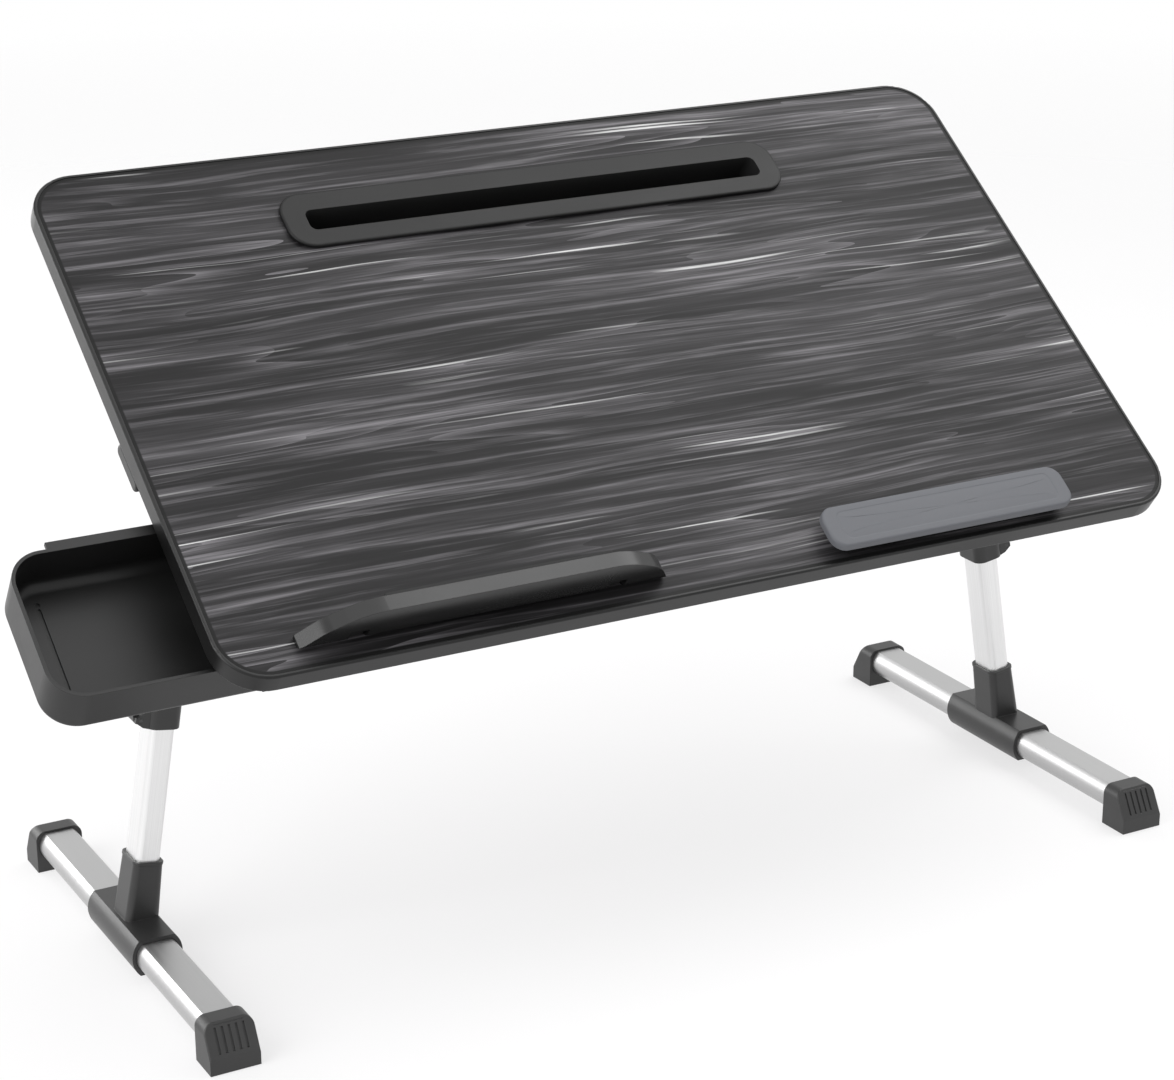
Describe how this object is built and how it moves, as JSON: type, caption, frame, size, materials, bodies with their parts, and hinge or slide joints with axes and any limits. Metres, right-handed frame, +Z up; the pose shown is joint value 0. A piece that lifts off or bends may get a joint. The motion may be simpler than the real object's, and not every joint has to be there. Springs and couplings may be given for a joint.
{
  "type": "laptop stand with drawer",
  "caption": "Tilting wood-grain desk stand on folding, height-adjustable legs, with flip-up stops, a device slot and a sliding drawer.",
  "frame": {"origin": "centre of the object's plan, on the plane that its feet stand on", "axes": "+X runs to the right along the tabletop, +Y away from the user, +Z up"},
  "size_m": [0.7001, 0.3186, 0.4267],
  "materials": {
    "wood_laminate": "satin dark grey wood-grain film",
    "panel_core": "pressed fibreboard",
    "backing_film": "satin dark film",
    "edge_plastic": "satin dark grey",
    "slot_plastic": "satin charcoal",
    "drawer_plastic": "satin charcoal",
    "rail_plastic": "satin black",
    "stop_plastic": "satin black",
    "stop_rubber": "matt black",
    "stop_cushion": "soft grey foam",
    "joint_plastic": "satin charcoal",
    "clip_plastic": "satin charcoal",
    "sleeve_plastic": "satin charcoal",
    "lever_plastic": "satin charcoal",
    "cap_plastic": "satin charcoal",
    "foot_rubber": "matt black",
    "leg_aluminium": "satin anodised",
    "foot_aluminium": "satin anodised",
    "screw_steel": "zinc plated",
    "pin_steel": "plain turned",
    "spring_steel": "bright wire"
  },
  "bodies": {
    "tilt_blocks": {"tilt_block_left": "joint_plastic", "tilt_axle_left": "pin_steel", "fold_pin_left": "pin_steel", "tilt_block_right": "joint_plastic", "tilt_axle_right": "pin_steel", "fold_pin_right": "pin_steel"},
    "tabletop": {"backing_sheet": "backing_film", "board_core": "panel_core", "bracket_screws_left": "screw_steel", "bracket_screws_right": "screw_steel", "clip_spring_left": "spring_steel", "clip_spring_right": "spring_steel", "drawer_rail_far": "rail_plastic", "drawer_rail_near": "rail_plastic", "drawer_stop": "rail_plastic", "edge_trim": "edge_plastic", "laminate_top": "wood_laminate", "rail_screws": "screw_steel", "slot_tray": "slot_plastic", "slot_tray_screws": "screw_steel", "stop_base_left": "stop_plastic", "stop_base_right": "stop_plastic", "stop_pin_left": "pin_steel", "stop_pin_right": "pin_steel", "stop_screws": "screw_steel", "tilt_bracket_left": "joint_plastic", "tilt_bracket_right": "joint_plastic"},
    "drawer": {"drawer_tray": "drawer_plastic"},
    "left_stop": {"stop_bar_left": "stop_plastic", "stop_pad_left": "stop_rubber"},
    "right_stop": {"stop_bar_right": "stop_plastic", "stop_pad_right": "stop_cushion"},
    "clip_left": {"tilt_clip_left": "clip_plastic"},
    "upper_leg_left": {"upper_leg_left": "sleeve_plastic", "clamp_pad_left": "foot_rubber", "latch_pin_left": "pin_steel"},
    "latch_left": {"height_latch_left": "lever_plastic"},
    "lower_leg_left": {"foot_bar_left": "foot_aluminium", "foot_cap_far_left": "cap_plastic", "foot_cap_near_left": "cap_plastic", "foot_pads_left": "foot_rubber", "foot_tee_left": "sleeve_plastic", "leg_tube_left": "leg_aluminium", "tee_screws_left": "screw_steel"},
    "clip_right": {"tilt_clip_right": "clip_plastic"},
    "upper_leg_right": {"upper_leg_right": "sleeve_plastic", "clamp_pad_right": "foot_rubber", "latch_pin_right": "pin_steel"},
    "latch_right": {"height_latch_right": "lever_plastic"},
    "lower_leg_right": {"foot_bar_right": "foot_aluminium", "foot_cap_far_right": "cap_plastic", "foot_cap_near_right": "cap_plastic", "foot_pads_right": "foot_rubber", "foot_tee_right": "sleeve_plastic", "leg_tube_right": "leg_aluminium", "tee_screws_right": "screw_steel"}
  },
  "joints": [
    {"name": "tilt", "type": "hinge", "parent": "tilt_blocks", "child": "tabletop", "pos_m": [0.03276, 0.00703, 0.30791], "axis": [-1, 0, 0], "range_deg": [0, 36]},
    {"name": "drawer_slide", "type": "slide", "parent": "tabletop", "child": "drawer", "axis": [1, 0, 0], "range_m": [-0.05, 0.08]},
    {"name": "left_stop_fold", "type": "hinge", "parent": "tabletop", "child": "left_stop", "pos_m": [-0.11974, -0.14667, 0.23925], "axis": [1, 0, 0], "range_deg": [0, 90]},
    {"name": "right_stop_raise", "type": "hinge", "parent": "tabletop", "child": "right_stop", "pos_m": [0.17376, -0.13724, 0.24363], "axis": [-1, 0, 0], "range_deg": [0, 88]},
    {"name": "clip_press_left", "type": "slide", "parent": "tabletop", "child": "clip_left", "axis": [1, 0, 0], "range_m": [0, 0.0035], "stiffness_N_per_m": 600, "springref_m": -0.003, "deforming": ["clip_spring_left"]},
    {"name": "leg_fold_left", "type": "hinge", "parent": "tilt_blocks", "child": "upper_leg_left", "pos_m": [-0.22485, 0.00703, 0.28391], "axis": [0, -1, 0], "range_deg": [0, 78]},
    {"name": "height_slide_left", "type": "slide", "parent": "upper_leg_left", "child": "lower_leg_left", "axis": [0.1668, 0, 0.986], "range_m": [0, 0.076]},
    {"name": "height_lever_left", "type": "hinge", "parent": "upper_leg_left", "child": "latch_left", "pos_m": [-0.26239, 0.00703, 0.14705], "axis": [0, -1, 0], "range_deg": [0, 100]},
    {"name": "clip_press_right", "type": "slide", "parent": "tabletop", "child": "clip_right", "axis": [-1, 0, 0], "range_m": [0, 0.0035], "stiffness_N_per_m": 600, "springref_m": -0.003, "deforming": ["clip_spring_right"]},
    {"name": "leg_fold_right", "type": "hinge", "parent": "tilt_blocks", "child": "upper_leg_right", "pos_m": [0.29037, 0.00703, 0.28391], "axis": [0, 1, 0], "range_deg": [0, 78]},
    {"name": "height_slide_right", "type": "slide", "parent": "upper_leg_right", "child": "lower_leg_right", "axis": [-0.1668, 0, 0.986], "range_m": [0, 0.076]},
    {"name": "height_lever_right", "type": "hinge", "parent": "upper_leg_right", "child": "latch_right", "pos_m": [0.32792, 0.00703, 0.14705], "axis": [0, 1, 0], "range_deg": [0, 100]}
  ]
}
